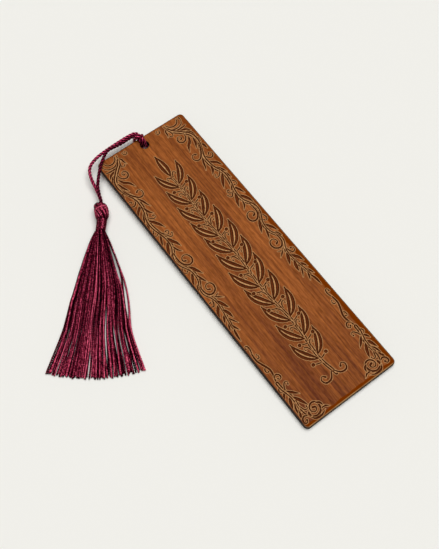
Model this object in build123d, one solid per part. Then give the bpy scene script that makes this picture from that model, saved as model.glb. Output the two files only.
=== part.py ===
# A slim wooden page marker with a corded tassel, as it lies on a table.
# Frame in mm: origin on the table under the middle of the board, X across the board, Y towards its hole, Z up.
import math
import os

from build123d import *

# Board
board_w = 38.0
board_l = 122.0
board_t = 2.0
corner_r = 1.6
edge_break = 0.3
hole_inset = 3.5
hole_play = 0.8

# Cord
cord_d = 1.2
cord_sides = 10
strand_gap = 0.1
lay_gap = 0.05
joint_gap = 0.15
wrap_share = 0.6
bevel_share = 0.27
swing_share = 0.42
bend_tail = 0.8
fit_share = 0.45

# Legs of the cord, as offsets from the board's top corner on the tassel side: along X, along Y, above its face
left_leg_offsets = (
    (10.95, 3.15, 0.50),
    (4.85, 2.65, 0.30),
    (0.85, 1.95, 0.55),
    (-3.00, 0.35, 0.30),
    (-4.85, -3.95, -0.05),
    (-5.45, -8.70, -0.85),
)
right_leg_offsets = (
    (11.60, 1.30, 0.80),
    (6.60, 2.05, 1.35),
    (4.00, 0.75, 0.95),
    (0.40, -2.20, 0.90),
    (-2.65, -5.50, 0.65),
    (-5.40, -9.00, 0.40),
)

# Tassel, with its head's top given as an offset from the same corner
tassel_offset = (-7.6, -14.45)
tassel_turn = -125.0
head_d = 5.35
head_l = 6.2
head_u_shares = (0.0, 0.09, 0.34, 0.68, 1.0)
head_r_shares = (0.72, 0.88, 1.0, 0.93, 0.72)
knot_share = 2.4
stub_l = 1.05
neck_d = 3.75
neck_l = 4.4
bind_d = 0.55
bind_sides = 8
bind_pitch = 1.0
bind_end = 0.25
quarter_steps = 4

# Skirt
skirt_l = 55.4
skirt_w = 34.0
skirt_t = 1.3
root_l = 1.2
strand_w = 0.25
strand_pitch = 0.33
shear_share = 0.12
station_shares = (0.0, 0.08, 0.22, 0.42, 0.66, 1.0)
spread_shares = (0.0, 0.16, 0.34, 0.54, 0.67, 1.0)
fall_shares = (0.0, 0.16, 0.46, 0.80, 1.0, 1.0)

hole_d = 2 * cord_d + strand_gap + hole_play
hole_y = board_l / 2 - hole_inset

# Where the doubled cord runs round the strip between the hole and the end of the board, before the board tilts
cord_r = cord_d / 2
wrap_r = wrap_share * cord_d
strand_x = cord_r + strand_gap / 2
in_hole = hole_d / 2 - cord_r - lay_gap
thread_y = hole_y + math.sqrt(in_hole**2 - strand_x**2)
front_z = board_t + lay_gap + cord_r
back_z = -lay_gap - cord_r
bar_z = front_z + cord_d + lay_gap
rise_x = strand_x + cord_d + lay_gap
rise_y = board_l / 2 + lay_gap + cord_r
inner_bend = cord_d + lay_gap
outer_bend = inner_bend + cord_d + strand_gap
inner_y = rise_y + inner_bend
outer_y = rise_y + outer_bend
outlet_x = -rise_x - bend_tail
bar_bend = cord_d
end_bevel = bevel_share * cord_d
swing_gap = swing_share * cord_d

# The board leans on the two strands that run under it
tilt = math.degrees(math.atan((cord_d + 2 * lay_gap) / (thread_y + wrap_r + board_l / 2)))
lean = Pos(0, -board_l / 2, 0) * Rot(tilt, 0, 0) * Pos(0, board_l / 2, 0)


def leaned(x, y, z):
    """The place of a point of the board once the board leans."""
    return (lean * Pos(x, y, z)).position


def tube(points, radii, name):
    """A cord of many-sided section along straight runs joined by tangent arcs."""
    line = FilletPolyline(*points, radius=radii)
    section = Plane(origin=line @ 0, z_dir=line % 0) * RegularPolygon(cord_r, cord_sides)
    solid = sweep(section, path=line)
    share = solid.volume / (section.area * line.length)
    print(name, "length", round(line.length, 2), "radii", [round(r, 2) for r in radii], "volume share", round(share, 4))
    return solid


def arc_radii(points):
    """For each inner point, the radius whose arc takes a fixed share of the shorter run beside it."""
    radii = []
    for before, here, after in zip(points, points[1:], points[2:]):
        run_in = Vector(*here) - Vector(*before)
        run_out = Vector(*after) - Vector(*here)
        turn = math.radians(run_in.get_angle(run_out))
        radii.append(fit_share * min(run_in.length, run_out.length) / math.tan(turn / 2))
    return radii


# Board
board = extrude(RectangleRounded(board_w, board_l, corner_r), board_t)
board = chamfer(board.faces().sort_by(Axis.Z)[-1].edges(), edge_break)
board -= Pos(0, hole_y, 0) * Cylinder(hole_d / 2, board_t, align=(Align.CENTER, Align.CENTER, Align.MIN))
board = lean * board

# Hitch: the doubled cord goes down the hole, back under the strip and over itself at the end of the board
hitch_points = [
    (outlet_x, inner_y, front_z),
    (-strand_x, inner_y, front_z),
    (-strand_x, thread_y, front_z),
    (-strand_x, thread_y, back_z),
    (-rise_x, rise_y, back_z),
    (-rise_x, rise_y, bar_z),
    (rise_x, rise_y, bar_z),
    (rise_x, rise_y, back_z),
    (strand_x, thread_y, back_z),
    (strand_x, thread_y, front_z),
    (strand_x, outer_y, front_z),
    (outlet_x, outer_y, front_z),
]
hitch_radii = [inner_bend, wrap_r, wrap_r, wrap_r, bar_bend, bar_bend, wrap_r, wrap_r, wrap_r, outer_bend]
cord_hitch = lean * tube(hitch_points, hitch_radii, "cord_hitch")

# Tassel's place: its own X runs from the head's top to the skirt's end
corner = leaned(-board_w / 2, board_l / 2, board_t)
head_top = (corner.X + tassel_offset[0], corner.Y + tassel_offset[1], head_d / 2 + lay_gap)
tassel = Pos(*head_top) * Rot(0, 0, tassel_turn)

# Legs, from the hitch to just short of the tassel's stubs
leg_end = -stub_l - swing_gap


def leg(offsets, outlet_y, side, name):
    """One leg of the cord, with a bevelled end beside the stub that it meets."""
    first = leaned(outlet_x - joint_gap, outlet_y, front_z)
    inner = [(corner.X + x, corner.Y + y, corner.Z + z) for x, y, z in offsets]
    last = (tassel * Pos(leg_end, 0, side * strand_x)).position
    points = [tuple(first)] + inner + [tuple(last)]
    for point in points:
        print(name, "point", [round(c, 3) for c in point])
    solid = tube(points, arc_radii(points), name)
    return chamfer(solid.faces().sort_by_distance(last)[0].edges(), end_bevel)


cord_leg_left = leg(left_leg_offsets, outer_y, -1, "cord_leg_left")
cord_leg_right = leg(right_leg_offsets, inner_y, 1, "cord_leg_right")

# Knot at the ends of the cord, inside the head, with the stubs that come out of its mouth
knot_r = knot_share * cord_r
knot_u = head_u_shares[2] * head_l
cord_knot = Pos(knot_u, 0, 0) * Sphere(knot_r)
for side in (-1, 1):
    stub = extrude(RegularPolygon(cord_r, cord_sides), knot_u + stub_l)
    stub = chamfer(stub.faces().sort_by(Axis.Z)[0].edges(), end_bevel)
    cord_knot += Pos(-stub_l, 0, side * strand_x) * Rot(0, 90, 0) * stub

# Head
mouth_r = strand_x + cord_r + lay_gap
head_curve = [(u * head_l, r * head_d / 2) for u, r in zip(head_u_shares, head_r_shares)]
head_line = Spline(*head_curve)
head_sides = Polyline(head_line @ 1, (head_l, 0), (0, 0), head_line @ 0)
head_cover = revolve(make_face([head_line, head_sides]), Axis.X)
head_cover -= Pos(knot_u, 0, 0) * Sphere(knot_r + lay_gap)
head_cover -= Rot(0, 90, 0) * Cylinder(mouth_r, knot_u, align=(Align.CENTER, Align.CENTER, Align.MIN))

# Binding round the neck, one thread wound on arcs
bind_r = (neck_d - bind_d) / 2
bind_start = head_l + bind_d / 2 + bind_end
bind_run = neck_l - bind_d - 2 * bind_end
bind_turns = bind_run / bind_pitch


def winding(turn):
    """A point of the winding and its direction there, at so many turns from the start."""
    angle = 2 * math.pi * turn
    place = Vector(bind_start + bind_pitch * turn, bind_r * math.cos(angle), bind_r * math.sin(angle))
    rise = bind_pitch / (2 * math.pi)
    return place, Vector(rise, -bind_r * math.sin(angle), bind_r * math.cos(angle)).normalized()


def biarc(start, end):
    """Two arcs that join a start to an end and keep the direction at both."""
    p, p_way = start
    q, q_way = end
    gap = q - p
    both = p_way + q_way
    bend = 2 * (1 - p_way.dot(q_way))
    reach = (math.sqrt(gap.dot(both) ** 2 + bend * gap.dot(gap)) - gap.dot(both)) / bend
    middle = (p + q + (p_way - q_way) * reach) * 0.5
    first = TangentArc(p, middle, tangent=p_way)
    return [first, TangentArc(middle, q, tangent=first % 1)]


bind_steps = math.ceil(bind_turns * quarter_steps)
marks = [winding(bind_turns * i / bind_steps) for i in range(bind_steps + 1)]
tail_in = Line(marks[0][0] - marks[0][1] * bind_d, marks[0][0])
tail_out = Line(marks[-1][0], marks[-1][0] + marks[-1][1] * bind_d)
turns = [arc for start, end in zip(marks, marks[1:]) for arc in biarc(start, end)]
bind_line = Wire([tail_in.edge()] + [arc.edge() for arc in turns] + [tail_out.edge()])
bind_face = Plane(origin=bind_line @ 0, z_dir=bind_line % 0) * RegularPolygon(bind_d / 2, bind_sides)
neck_binding = sweep(bind_face, path=bind_line)
whole = math.ceil(bind_steps / bind_turns)
pairs = [(marks[i][0] - marks[j][0]).length for i in range(len(marks)) for j in range(i + whole - 1, len(marks))]
print("neck_binding turns", round(bind_turns, 2), "length", round(bind_line.length, 2))
print("neck_binding least gap to itself", round(min(pairs) - bind_d, 3))

# Skirt: threads that leave the bound root side by side and fan out over the table
core_r = bind_r - bind_d / 2 - lay_gap
root_r = neck_d / 2
neck_end = head_l + neck_l
core = Cylinder(core_r, neck_l - lay_gap, align=(Align.CENTER, Align.CENTER, Align.MIN))
flare = Cone(core_r, root_r, root_l / 2, align=(Align.CENTER, Align.CENTER, Align.MIN))
disc = Cylinder(root_r, root_l / 2, align=(Align.CENTER, Align.CENTER, Align.MIN))
root = Pos(head_l + lay_gap, 0, 0) * Rot(0, 90, 0) * core
root += Pos(neck_end, 0, 0) * Rot(0, 90, 0) * flare
root += Pos(neck_end + root_l / 2, 0, 0) * Rot(0, 90, 0) * disc

strand_start = neck_end + 3 * root_l / 4
strand_l = skirt_l - 3 * root_l / 4
reach_r = root_r - strand_w
row_step = strand_pitch * math.sqrt(3) / 2
rows = math.floor(reach_r / row_step)
spread = (skirt_w - strand_w) / 2 / (reach_r * math.sqrt(1 + shear_share**2))
settle = (skirt_t - strand_w) / (2 * reach_r)
rest_w = (skirt_t - head_d) / 2


def strand(v, w):
    """One thread of square section, from its place in the root to its place on the table."""
    v_end = spread * (v + shear_share * w)
    w_end = rest_w + settle * w
    run = math.sqrt(strand_l**2 - v_end**2)
    cuts = []
    for station, out, fall in zip(station_shares, spread_shares, fall_shares):
        place = (strand_start + station * run, v + out * (v_end - v), w + fall * (w_end - w))
        cuts.append(Plane(origin=place, x_dir=(0, 1, 0), z_dir=(1, 0, 0)) * Rectangle(strand_w, strand_w))
    return loft(cuts, ruled=True)


strands = []
for row in range(-rows, rows + 1):
    w_root = row * row_step
    half = math.sqrt(reach_r**2 - w_root**2)
    shift = (row % 2) / 2
    for column in range(math.ceil(-half / strand_pitch - shift), math.floor(half / strand_pitch - shift) + 1):
        strands.append(strand((column + shift) * strand_pitch, w_root))
print("skirt_threads strands", len(strands))
skirt_threads = root + strands

nodes = {
    "board": board,
    "cord_hitch": cord_hitch,
    "cord_leg_left": cord_leg_left,
    "cord_leg_right": cord_leg_right,
    "cord_knot": tassel * cord_knot,
    "head_cover": tassel * head_cover,
    "neck_binding": tassel * neck_binding,
    "skirt_threads": tassel * skirt_threads,
}
os.makedirs("parts", exist_ok=True)
for name, shape in nodes.items():
    print(name, "solids", len(shape.solids()), "volume", round(shape.volume, 2), "bottom", round(shape.bounding_box().min.Z, 3))
    export_step(shape, f"parts/{name}.step")
swing = (tassel * Pos(-stub_l - swing_gap / 2, 0, 0)).position
lift = leaned(outlet_x - joint_gap / 2, (inner_y + outer_y) / 2, front_z)
print("lift pivot", [round(c, 3) for c in lift], "swing pivot", [round(c, 3) for c in swing], "tilt", round(tilt, 4))
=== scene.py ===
import math
import random

import bpy
import mathutils
import numpy as np
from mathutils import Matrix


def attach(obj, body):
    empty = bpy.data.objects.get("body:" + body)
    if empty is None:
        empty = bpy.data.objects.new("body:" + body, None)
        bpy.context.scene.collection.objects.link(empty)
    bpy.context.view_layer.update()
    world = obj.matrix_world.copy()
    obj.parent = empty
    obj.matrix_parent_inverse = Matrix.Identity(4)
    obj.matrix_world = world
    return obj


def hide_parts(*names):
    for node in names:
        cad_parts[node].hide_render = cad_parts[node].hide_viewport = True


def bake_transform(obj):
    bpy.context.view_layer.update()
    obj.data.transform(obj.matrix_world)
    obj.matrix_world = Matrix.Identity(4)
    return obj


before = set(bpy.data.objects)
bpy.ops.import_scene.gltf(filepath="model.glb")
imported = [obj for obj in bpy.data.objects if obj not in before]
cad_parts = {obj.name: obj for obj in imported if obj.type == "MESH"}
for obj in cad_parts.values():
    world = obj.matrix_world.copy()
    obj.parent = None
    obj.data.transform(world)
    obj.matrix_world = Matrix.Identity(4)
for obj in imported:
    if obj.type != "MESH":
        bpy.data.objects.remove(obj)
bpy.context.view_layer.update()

# Sizes of the bookmark, in millimetres, as the CAD has them
mm = 0.001
board_w = 38.0
board_l = 122.0
board_t = 2.0
corner_r = 1.6
edge_break = 0.3
hole_y = 57.5
hole_r = 1.65
head_top = np.array((-26.6, 46.521, 2.725))
tassel_turn = math.radians(-125.0)
# The board leans on the strands under it, this high and this far from its foot
strand_height = 1.3
strand_run = 119.98
tilt = math.atan(strand_height / strand_run)

full_turn = 2 * math.pi
scene = bpy.context.scene
chance = random.Random(11)


def lean(points):
    """Points of the flat board, mm, where they come to lie on the table, metres."""
    p = np.asarray(points, float)
    run = p[:, 1] + board_l / 2
    y = run * math.cos(tilt) - p[:, 2] * math.sin(tilt) - board_l / 2
    z = run * math.sin(tilt) + p[:, 2] * math.cos(tilt)
    return np.column_stack((p[:, 0], y, z)) * mm


def on_tassel(points):
    """Points given along, across and above the tassel, mm, in the shared frame, metres."""
    p = np.asarray(points, float)
    along = np.array((math.cos(tassel_turn), math.sin(tassel_turn), 0))
    across = np.array((-math.sin(tassel_turn), math.cos(tassel_turn), 0))
    up = np.array((0, 0, 1))
    return (head_top + p[:, :1] * along + p[:, 1:2] * across + p[:, 2:] * up) * mm


def linear(colour):
    """An sRGB hex colour as linear red, green, blue and alpha."""
    parts = [int(colour[i:i + 2], 16) / 255 for i in (1, 3, 5)]
    parts = [c / 12.92 if c <= 0.04045 else ((c + 0.055) / 1.055) ** 2.4 for c in parts]
    return (*parts, 1.0)


def add(tree, kind, inputs=None, stops=(), **settings):
    """A node with its settings, its inputs and the stops of its colour ramp.

    An input is a value, a socket to link, or a node that stands for its first output in use.
    """
    node = tree.nodes.new(kind)
    for name, value in settings.items():
        setattr(node, name, value)
    for key, value in (inputs or {}).items():
        if isinstance(value, bpy.types.Node):
            value = next(socket for socket in value.outputs if socket.enabled)
        if isinstance(value, bpy.types.NodeSocket):
            tree.links.new(value, node.inputs[key])
        else:
            node.inputs[key].default_value = value
    for k, (at, colour) in enumerate(stops):
        stop = node.color_ramp.elements[k] if k < 2 else node.color_ramp.elements.new(at)
        stop.position = at
        stop.color = linear(colour)
    return node


def finish(name):
    """An empty material and its tree."""
    material = bpy.data.materials.new(name)
    material.use_nodes = True
    material.node_tree.nodes.clear()
    return material, material.node_tree


def piece_of(name, mesh):
    """A piece at the origin that shows a mesh."""
    piece = bpy.data.objects.new(name, mesh)
    scene.collection.objects.link(piece)
    return piece


# Floss finishes

def floss_finish(name, stops, lobe_share, crest_shade_power, painted_glint, thread_share, span):
    """Viscose floss, twisted and uncoated.

    It shines in its own colour. Its colour is painted lighter on the crests of its twist, as painted
    highlight, and nearly black between them and on the threads' sides, as painted shade.
    """
    material, tree = finish(name)
    marks = {}
    for mark in ("shade", "depth", "crest_shade", "lobe"):
        marks[mark] = add(tree, "ShaderNodeAttribute", attribute_name=mark).outputs["Fac"]
    spot = add(tree, "ShaderNodeTexCoord").outputs["Object"]
    # Painted glints of single fibres, 0.45 mm long: noise that makes the colour lighter and darker
    painted_glints = add(tree, "ShaderNodeTexNoise", {"Vector": spot, "Scale": 1 / (0.45 * mm), "Detail": 1.0})
    # Painted shade and painted highlight: darker in the grooves of the twist and on the threads' sides,
    # lighter on their crests
    painted_light = add(tree, "ShaderNodeMath", {0: marks["lobe"], 1: lobe_share, 2: 1 - lobe_share},
               operation="MULTIPLY_ADD")
    crest_shade = add(tree, "ShaderNodeMath", {0: marks["crest_shade"], 1: crest_shade_power}, operation="POWER")
    tone = add(tree, "ShaderNodeMath", {0: crest_shade, 1: painted_light}, operation="MULTIPLY")
    # A random tone for each thread, and painted shade where a thread lies deep in the bundle
    for part, share in ((painted_glints, painted_glint), (marks["shade"], thread_share), (marks["depth"], -0.6)):
        tone = add(tree, "ShaderNodeMath", {0: part, 1: share, 2: tone}, operation="MULTIPLY_ADD")
    tone = add(tree, "ShaderNodeMapRange", {"Value": tone, "From Min": span[0], "From Max": span[1]})
    colour = add(tree, "ShaderNodeValToRGB", {"Fac": tone}, stops)
    # Single fibres 0.05 mm apart, drawn three times as coarse so that they show
    fibre = add(tree, "ShaderNodeTexNoise", {"Vector": spot, "Scale": 1 / (0.15 * mm), "Detail": 1.0})
    relief = add(tree, "ShaderNodeBump", {"Height": fibre, "Strength": 0.3, "Distance": 0.03 * mm})
    shine = add(tree, "ShaderNodeMapRange", {"Value": tone, "From Min": 0.2, "To Min": 0.0, "To Max": 0.6})
    shader = add(tree, "ShaderNodeBsdfPrincipled", {
        "Base Color": colour, "Normal": relief, "Roughness": 0.34, "IOR": 1.53, "Metallic": 0.35,
        "Specular IOR Level": shine, "Specular Tint": linear("#F0507E")})
    add(tree, "ShaderNodeOutputMaterial", {"Surface": shader})
    return material


cord_stops = ((0.0, "#0C0004"), (1.0, "#DC5078"), (0.45, "#480B1D"), (0.8, "#962444"))
cord_floss = floss_finish("viscose_cord", cord_stops, lobe_share=0.35, crest_shade_power=1.0, painted_glint=0.6,
                          thread_share=0.55, span=(0.55, 1.65))
tassel_stops = ((0.0, "#0C0004"), (1.0, "#EE6886"), (0.35, "#480A1A"), (0.7, "#9A2845"))
tassel_floss = floss_finish("viscose_tassel_floss", tassel_stops, lobe_share=0.5, crest_shade_power=2.4, painted_glint=1.65,
                            thread_share=0.85, span=(1.235, 2.075))


# Geometry trees: a cord of twisted plies along a line, and twisted threads along many lines

# Radians over which the starts of the threads' twists are spread
start_spread = 40.0


def growing_tree(name, rows):
    """An empty geometry tree, its named inputs, and its end node."""
    tree = bpy.data.node_groups.new(name, "GeometryNodeTree")
    for label, kind in rows:
        tree.interface.new_socket(name=label, in_out="INPUT", socket_type="NodeSocket" + kind)
    tree.interface.new_socket(name="Geometry", in_out="OUTPUT", socket_type="NodeSocketGeometry")
    return tree, add(tree, "NodeGroupInput").outputs, add(tree, "NodeGroupOutput")


def twisted(tree, line, given, end):
    """The last part of both trees: a lobed thread twisted along each line, marked for its finish and its
    painted shade and highlight.
    """
    shade = add(tree, "FunctionNodeRandomValue", {"Seed": given["Seed"]}, data_type="FLOAT")
    line = add(tree, "GeometryNodeStoreNamedAttribute", {"Geometry": line, "Name": "shade", "Value": shade},
               data_type="FLOAT", domain="CURVE")
    # Each thread starts its twist at another turn
    start = add(tree, "GeometryNodeInputNamedAttribute", {"Name": "shade"}, data_type="FLOAT")
    start = add(tree, "ShaderNodeMath", {0: start, 1: start_spread}, operation="MULTIPLY")
    gone = add(tree, "GeometryNodeSplineParameter").outputs["Length"]
    turns = add(tree, "ShaderNodeMath", {0: gone, 1: given["Twist length"]}, operation="DIVIDE")
    twist = add(tree, "ShaderNodeMath", {0: turns, 1: full_turn, 2: start}, operation="MULTIPLY_ADD")
    line = add(tree, "GeometryNodeSetCurveTilt", {"Curve": line, "Tilt": twist})
    # The section: a ring that is drawn in between its lobes
    ring = add(tree, "GeometryNodeCurvePrimitiveCircle", {
        "Resolution": given["Sides"], "Radius": given["Thread radius"]})
    angle = add(tree, "GeometryNodeInputIndex")
    for operation, by in (("DIVIDE", given["Sides"]), ("MULTIPLY", given["Lobes"]), ("MULTIPLY", full_turn)):
        angle = add(tree, "ShaderNodeMath", {0: angle, 1: by}, operation=operation)
    lobe = add(tree, "ShaderNodeMath", {0: angle}, operation="COSINE")
    lobe = add(tree, "ShaderNodeMath", {0: lobe, 1: 0.5, 2: 0.5}, operation="MULTIPLY_ADD")
    drawn = add(tree, "ShaderNodeMath", {0: lobe, 1: given["Lobe depth"], 2: 1.0}, operation="MULTIPLY_ADD")
    drawn = add(tree, "ShaderNodeMath", {0: drawn, 1: given["Lobe depth"]}, operation="SUBTRACT")
    spot = add(tree, "GeometryNodeInputPosition")
    spot = add(tree, "ShaderNodeVectorMath", {0: spot, "Scale": drawn}, operation="SCALE")
    # The lobes are kept as a mark too: painted shade in the grooves between them, painted highlight on them
    ring = add(tree, "GeometryNodeStoreNamedAttribute", {"Geometry": ring, "Name": "lobe", "Value": lobe},
               data_type="FLOAT", domain="POINT")
    ring = add(tree, "GeometryNodeSetPosition", {"Geometry": ring, "Position": spot})
    tube = add(tree, "GeometryNodeCurveToMesh", {"Curve": line, "Profile Curve": ring, "Fill Caps": True})
    # Crests are the sides that face straight out of the bundle or into it.
    # This mark paints the threads' sides darker, as painted shade, and their crests lighter, as painted
    # highlight
    outward = add(tree, "GeometryNodeInputNamedAttribute", {"Name": "outward"}, data_type="FLOAT_VECTOR")
    facing_shade = add(tree, "GeometryNodeInputNormal")
    facing_shade = add(tree, "ShaderNodeVectorMath", {0: facing_shade, 1: outward}, operation="DOT_PRODUCT")
    facing_shade = add(tree, "ShaderNodeMath", {0: facing_shade}, operation="ABSOLUTE")
    tube = add(tree, "GeometryNodeStoreNamedAttribute", {"Geometry": tube, "Name": "crest_shade", "Value": facing_shade},
               data_type="FLOAT", domain="POINT")
    tube = add(tree, "GeometryNodeSetShadeSmooth", {"Geometry": tube})
    tube = add(tree, "GeometryNodeRealizeInstances", {"Geometry": tube})
    tube = add(tree, "GeometryNodeSetMaterial", {"Geometry": tube, "Material": given["Material"]})
    tree.links.new(tube.outputs[0], end.inputs[0])


thread_rows = (
    ("Thread radius", "Float"), ("Lobes", "Int"), ("Lobe depth", "Float"), ("Twist length", "Float"),
    ("Sides", "Int"), ("Seed", "Int"), ("Material", "Material"))
tree, given, end = growing_tree("twisted_cord", (
    ("Geometry", "Geometry"), ("Plies", "Int"), ("Ply offset", "Float"), ("Lay length", "Float"),
    ("Step", "Float")) + thread_rows)
line = add(tree, "GeometryNodeMeshToCurve", {"Mesh": given["Geometry"]})
line = add(tree, "GeometryNodeResampleCurve", {"Curve": line, "Length": given["Step"]}, mode="LENGTH")
plies = add(tree, "GeometryNodeDuplicateElements", {"Geometry": line, "Amount": given["Plies"]},
            domain="SPLINE")
share = add(tree, "ShaderNodeMath", {0: plies.outputs["Duplicate Index"], 1: given["Plies"]},
            operation="DIVIDE")
gone = add(tree, "GeometryNodeSplineParameter").outputs["Length"]
turns = add(tree, "ShaderNodeMath", {0: gone, 1: given["Lay length"]}, operation="DIVIDE")
turns = add(tree, "ShaderNodeMath", {0: turns, 1: share}, operation="ADD")
angle = add(tree, "ShaderNodeMath", {0: turns, 1: full_turn}, operation="MULTIPLY")
normal = add(tree, "GeometryNodeInputNormal")
tangent = add(tree, "GeometryNodeInputTangent")
out_way = add(tree, "ShaderNodeVectorRotate", {"Vector": normal, "Axis": tangent, "Angle": angle},
              rotation_type="AXIS_ANGLE")
offset = add(tree, "ShaderNodeVectorMath", {0: out_way, "Scale": given["Ply offset"]}, operation="SCALE")
laid = add(tree, "GeometryNodeStoreNamedAttribute", {"Geometry": plies, "Name": "outward", "Value": out_way},
           data_type="FLOAT_VECTOR", domain="POINT")
laid = add(tree, "GeometryNodeSetPosition", {"Geometry": laid, "Offset": offset})
twisted(tree, laid, given, end)
cord_tree = tree

tree, given, end = growing_tree("floss_threads", (
    ("Geometry", "Geometry"), ("Step", "Float"), ("Ripple height", "Float"),
    ("Ripple length", "Float")) + thread_rows)
line = add(tree, "GeometryNodeMeshToCurve", {"Mesh": given["Geometry"]})
line = add(tree, "GeometryNodeCurveSplineType", {"Curve": line}, spline_type="CATMULL_ROM")
line = add(tree, "GeometryNodeResampleCurve", {"Curve": line, "Length": given["Step"]}, mode="LENGTH")
spot = add(tree, "GeometryNodeInputPosition")
fine = add(tree, "ShaderNodeMath", {0: 1.0, 1: given["Ripple length"]}, operation="DIVIDE")
ripple = add(tree, "ShaderNodeTexNoise", {"Vector": spot, "Scale": fine, "Detail": 1.0}).outputs["Color"]
ripple = add(tree, "ShaderNodeVectorMath", {0: ripple, 1: (0.5, 0.5, 0.5)}, operation="SUBTRACT")
ripple = add(tree, "ShaderNodeVectorMath", {0: ripple, "Scale": given["Ripple height"]}, operation="SCALE")
laid = add(tree, "GeometryNodeSetPosition", {"Geometry": line, "Offset": ripple})
twisted(tree, laid, given, end)
thread_tree = tree


def guide_mesh(name, lines, outward=(0, 0, 1), shade_depths=None):
    """Lines of points, in metres, as one mesh of edges.

    It keeps the way out of the bundle and how deep each line lies in it, which sets how much painted shade it
    gets.
    """
    spots, edges, shade_by_depth = [], [], []
    for k, points in enumerate(lines):
        first = len(spots)
        spots += [tuple(p) for p in points]
        edges += [(i, i + 1) for i in range(first, len(spots) - 1)]
        shade_by_depth += np.broadcast_to(shade_depths[k] if shade_depths else 0.0, len(points)).tolist()
    mesh = bpy.data.meshes.new(name)
    mesh.from_pydata(spots, edges, [])
    ways = np.broadcast_to(np.asarray(outward, np.float32), (len(spots), 3))
    mesh.attributes.new("outward", "FLOAT_VECTOR", "POINT").data.foreach_set("vector", ways.ravel())
    # How deep each point lies, for the painted shade of its finish
    mesh.attributes.new("depth", "FLOAT", "POINT").data.foreach_set("value", shade_by_depth)
    return mesh


def grown(name, guide, tree, **values):
    """A plain mesh piece that a tree grows on its guide lines."""
    carrier = piece_of(name + ".guide", guide)
    step = carrier.modifiers.new("grow", "NODES")
    step.node_group = tree
    for socket in tree.interface.items_tree:
        label = socket.name.replace(" ", "_").lower()
        if socket.in_out == "INPUT" and label in values:
            step[socket.identifier] = values[label]
    mesh = bpy.data.meshes.new_from_object(carrier.evaluated_get(bpy.context.evaluated_depsgraph_get()))
    bpy.data.objects.remove(carrier)
    bpy.data.meshes.remove(guide)
    mesh.name = name
    return piece_of(name, mesh)


def laid_line(name, points):
    """A smooth line with the route's points as its control points, as a mesh of edges."""
    curve = bpy.data.curves.new(name, "CURVE")
    curve.dimensions = "3D"
    curve.resolution_u = 16
    spline = curve.splines.new("NURBS")
    spline.points.add(len(points) - 1)
    for point, place in zip(spline.points, points):
        point.co = (*place, 1.0)
    spline.order_u = 3
    spline.use_endpoint_u = True
    carrier = piece_of(name + ".line", curve)
    bpy.context.view_layer.update()
    mesh = bpy.data.meshes.new_from_object(carrier)
    bpy.data.objects.remove(carrier)
    return mesh


# The doubled cord: each strand comes up through the hole, runs over the board's end and off to the tassel
cord_look = dict(plies=3, ply_offset=0.35 * mm, lay_length=3.9 * mm, step=0.16 * mm, thread_radius=0.31 * mm,
                 lobes=4, lobe_depth=0.14, twist_length=-2.6 * mm, sides=12, material=cord_floss)
strand_starts = {
    "left": [(0.62, 58.3, 0.7), (0.62, 58.3, 3.0), (0.6, 60.6, 2.75), (0.1, 63.35, 2.75)],
    "right": [(-0.62, 58.3, 0.7), (-0.62, 58.3, 3.0), (-0.6, 60.2, 2.75), (-0.75, 62.5, 2.8)],
}
strand_routes = {
    "left": [(-2.85, 63.7, 4.006), (-8.05, 63.8, 3.822), (-14.15, 63.621, 3.622), (-18.15, 62.921, 3.872),
             (-22.0, 61.321, 3.622), (-23.85, 57.021, 3.272), (-24.45, 52.271, 2.472),
             (-25.709, 47.794, 2.075)],
    "right": [(-2.85, 62.8, 3.992), (-7.4, 62.55, 4.122), (-12.4, 63.021, 4.672), (-15.0, 61.721, 4.272),
              (-18.6, 58.771, 4.222), (-21.65, 55.471, 3.972), (-24.4, 51.971, 3.722),
              (-25.709, 47.794, 3.375)],
}
for seed, side in enumerate(strand_routes):
    route = [tuple(p) for p in lean(strand_starts[side])]
    route += [tuple(np.array(p) * mm) for p in strand_routes[side]]
    guide = laid_line("cord_" + side, route)
    strand = grown("cord_" + side, guide, cord_tree, seed=seed, **cord_look)
    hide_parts("cord_leg_" + side)
    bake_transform(strand)

# The hitch: the same cord goes round the strip between the hole and the board's end, its bar on the front
hitch_route = [
    (-0.62, 58.3, 1.1), (-0.62, 58.2, -0.66), (-1.2, 60.0, -0.64), (-1.75, 61.7, -0.72), (-1.85, 61.85, 1.4),
    (-1.7, 61.1, 3.4), (-0.1, 60.7, 3.95), (1.25, 60.5, 3.3), (1.4, 61.75, 1.6), (1.75, 61.7, -0.72),
    (1.95, 59.9, -0.64), (1.5, 58.0, -0.66), (0.62, 57.8, 0.0), (0.62, 58.3, 1.1)]
hitch_line = laid_line("hitch", [tuple(p) for p in lean(hitch_route)])
hitch = grown("hitch", hitch_line, cord_tree, seed=5, **cord_look)
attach(hitch, "board")
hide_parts("cord_hitch")

# The cord's ends: two stubs that bend at the swing point and go into the head, where they meet in a knot
knot_lines = []
for rise, side in ((-0.65, -1), (0.65, 1)):
    knot_lines.append(on_tassel([
        (-1.55, 0, rise), (-0.5, 0, rise), (0.6, 0.1 * side, rise * 0.95), (1.6, 0.4 * side, rise),
        (2.3, 0.9 * side, rise * 0.6), (3.0, 0.5 * side, -rise), (2.6, -0.7 * side, -rise * 0.8),
        (1.9, -0.8 * side, rise * 0.3), (2.6, 0.1 * side, rise * 1.1)]))
stubs = grown("cord_ends", guide_mesh("cord_ends", knot_lines), cord_tree, seed=9, **cord_look)
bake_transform(stubs)
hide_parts("cord_knot")

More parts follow.
